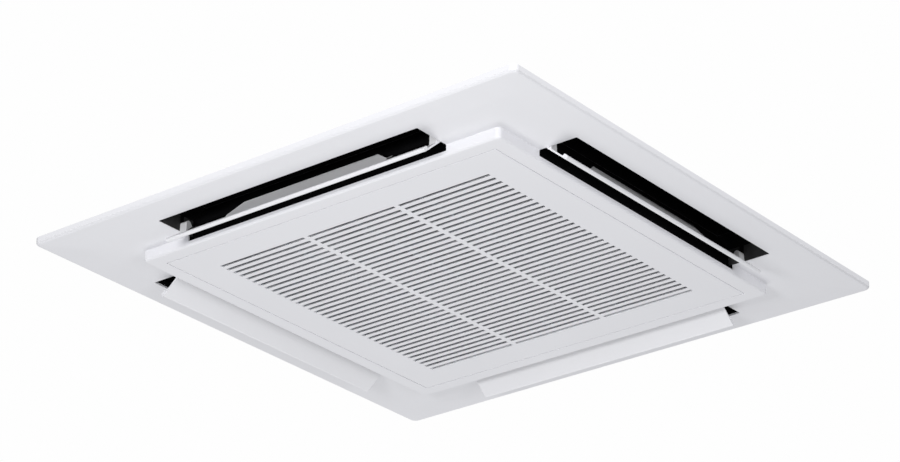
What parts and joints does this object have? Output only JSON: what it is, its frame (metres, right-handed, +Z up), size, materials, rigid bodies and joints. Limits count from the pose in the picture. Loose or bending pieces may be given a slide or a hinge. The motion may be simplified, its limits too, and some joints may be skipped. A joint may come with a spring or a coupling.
{
  "type": "ceiling cassette air conditioner",
  "caption": "Square ceiling cassette air conditioner: white panel with slotted drop-down intake grille and swinging outlet vanes, under a metal cabinet with fan and coil.",
  "frame": {"origin": "on the fan's axis at the height of the hanger brackets' slotted holes, the centre of their rectangle", "axes": "+Z up into the ceiling void, -Z down into the room; X and Y square to the panel's sides, +Y towards the grille's hinges, pipes and drain at the +X +Y corner"},
  "size_m": [0.95, 0.95, 0.3315],
  "materials": {
    "black_liner_foam": "flocked black insulation",
    "board_green": "printed board",
    "brass_fitting": "machined",
    "copper_tube": "drawn copper",
    "fan_plastic": "moulded",
    "filter_net": "fine woven nylon net",
    "filter_plastic": "moulded frame",
    "fin_aluminium": "bright fin pack",
    "float_plastic": "moulded",
    "galvanised_steel": "spangled zinc",
    "grey_foam": "sheet insulation",
    "grey_plastic": "moulded",
    "hose_vinyl": "clear grey vinyl",
    "motor_paint": "satin black",
    "mount_rubber": "moulded",
    "panel_white_plastic": "satin moulded ABS",
    "pin_steel": "plain steel",
    "seal_foam": "closed cell foam",
    "terminal_plastic": "moulded",
    "vane_white_plastic": "satin moulded ABS",
    "white_foam": "moulded bead foam"
  },
  "bodies": {
    "housing": {"bell_mouth": "fan_plastic", "cabinet_side_front": "galvanised_steel", "cabinet_side_left": "galvanised_steel", "cabinet_side_rear": "galvanised_steel", "cabinet_side_right": "galvanised_steel", "cable_gland": "mount_rubber", "catch_housings": "grey_plastic", "circuit_board": "board_green", "coil_end_plates": "galvanised_steel", "coil_fins": "fin_aluminium", "control_box": "galvanised_steel", "control_cover": "galvanised_steel", "control_screws": "pin_steel", "drain_hose": "hose_vinyl", "drain_pan": "white_foam", "drain_port": "grey_plastic", "drain_pump": "grey_plastic", "duct_seals": "seal_foam", "fan_motor": "motor_paint", "flare_nuts": "brass_fitting", "float_stem": "grey_plastic", "gas_pipe": "copper_tube", "hanger_brackets": "galvanised_steel", "hanger_screws": "pin_steel", "hinge_brackets": "grey_plastic", "hinge_pins": "pin_steel", "liquid_pipe": "copper_tube", "motor_mounts": "mount_rubber", "motor_studs": "pin_steel", "outlet_liners": "black_liner_foam", "pan_plug": "mount_rubber", "pan_rim": "white_foam", "panel_frame": "panel_white_plastic", "panel_screws": "pin_steel", "pipe_cover": "galvanised_steel", "pump_bracket": "galvanised_steel", "return_bends": "copper_tube", "room_sensor": "grey_plastic", "terminal_block": "terminal_plastic", "throat_seal": "seal_foam", "top_insulation": "grey_foam", "top_plate": "galvanised_steel", "top_screws": "pin_steel", "vane_motor_screws": "pin_steel", "vane_motors": "terminal_plastic", "wall_insulation": "grey_foam"},
    "grille": {"intake_grille": "panel_white_plastic", "filter_frame": "filter_plastic", "filter_mesh": "filter_net"},
    "vane_right": {"vane_right": "vane_white_plastic"},
    "vane_rear": {"vane_rear": "vane_white_plastic"},
    "vane_left": {"vane_left": "vane_white_plastic"},
    "vane_front": {"vane_front": "vane_white_plastic"},
    "fan": {"turbo_fan": "fan_plastic", "motor_shaft": "pin_steel", "fan_nut": "pin_steel"},
    "pump_rotor": {"pump_impeller": "float_plastic"},
    "float": {"drain_float": "float_plastic"},
    "catch_left": {"catch_plunger_left": "grey_plastic"},
    "catch_right": {"catch_plunger_right": "grey_plastic"}
  },
  "joints": [
    {"name": "vane_right_swing", "type": "hinge", "parent": "housing", "child": "vane_right", "pos_m": [0.3694, 0, -0.17055], "axis": [0, 1, 0], "range_deg": [-40.5, 14]},
    {"name": "vane_rear_swing", "type": "hinge", "parent": "housing", "child": "vane_rear", "pos_m": [0, 0.3694, -0.17055], "axis": [-1, 0, 0], "range_deg": [-40.5, 14]},
    {"name": "vane_left_swing", "type": "hinge", "parent": "housing", "child": "vane_left", "pos_m": [-0.3694, 0, -0.17055], "axis": [0, -1, 0], "range_deg": [-40.5, 14]},
    {"name": "vane_front_swing", "type": "hinge", "parent": "housing", "child": "vane_front", "pos_m": [0, -0.3694, -0.17055], "axis": [1, 0, 0], "range_deg": [-40.5, 14]},
    {"name": "grille_hinge", "type": "hinge", "parent": "housing", "child": "grille", "pos_m": [0, 0.281, -0.18845], "axis": [1, 0, 0], "range_deg": [0, 85]},
    {"name": "fan_spin", "type": "hinge", "parent": "housing", "child": "fan", "pos_m": [0, 0, -0.01625], "axis": [0, 0, 1], "continuous": true},
    {"name": "pump_spin", "type": "hinge", "parent": "housing", "child": "pump_rotor", "pos_m": [0.292, 0.304, -0.08925], "axis": [0, 0, 1], "continuous": true},
    {"name": "float_slide", "type": "slide", "parent": "housing", "child": "float", "axis": [0, 0, 1], "range_m": [0, 0.014]},
    {"name": "catch_left_push", "type": "slide", "parent": "housing", "child": "catch_left", "axis": [0, 0, 1], "range_m": [0, 0.004], "stiffness_N_per_m": 300, "springref_m": -0.002},
    {"name": "catch_right_push", "type": "slide", "parent": "housing", "child": "catch_right", "axis": [0, 0, 1], "range_m": [0, 0.004], "stiffness_N_per_m": 300, "springref_m": -0.002}
  ]
}
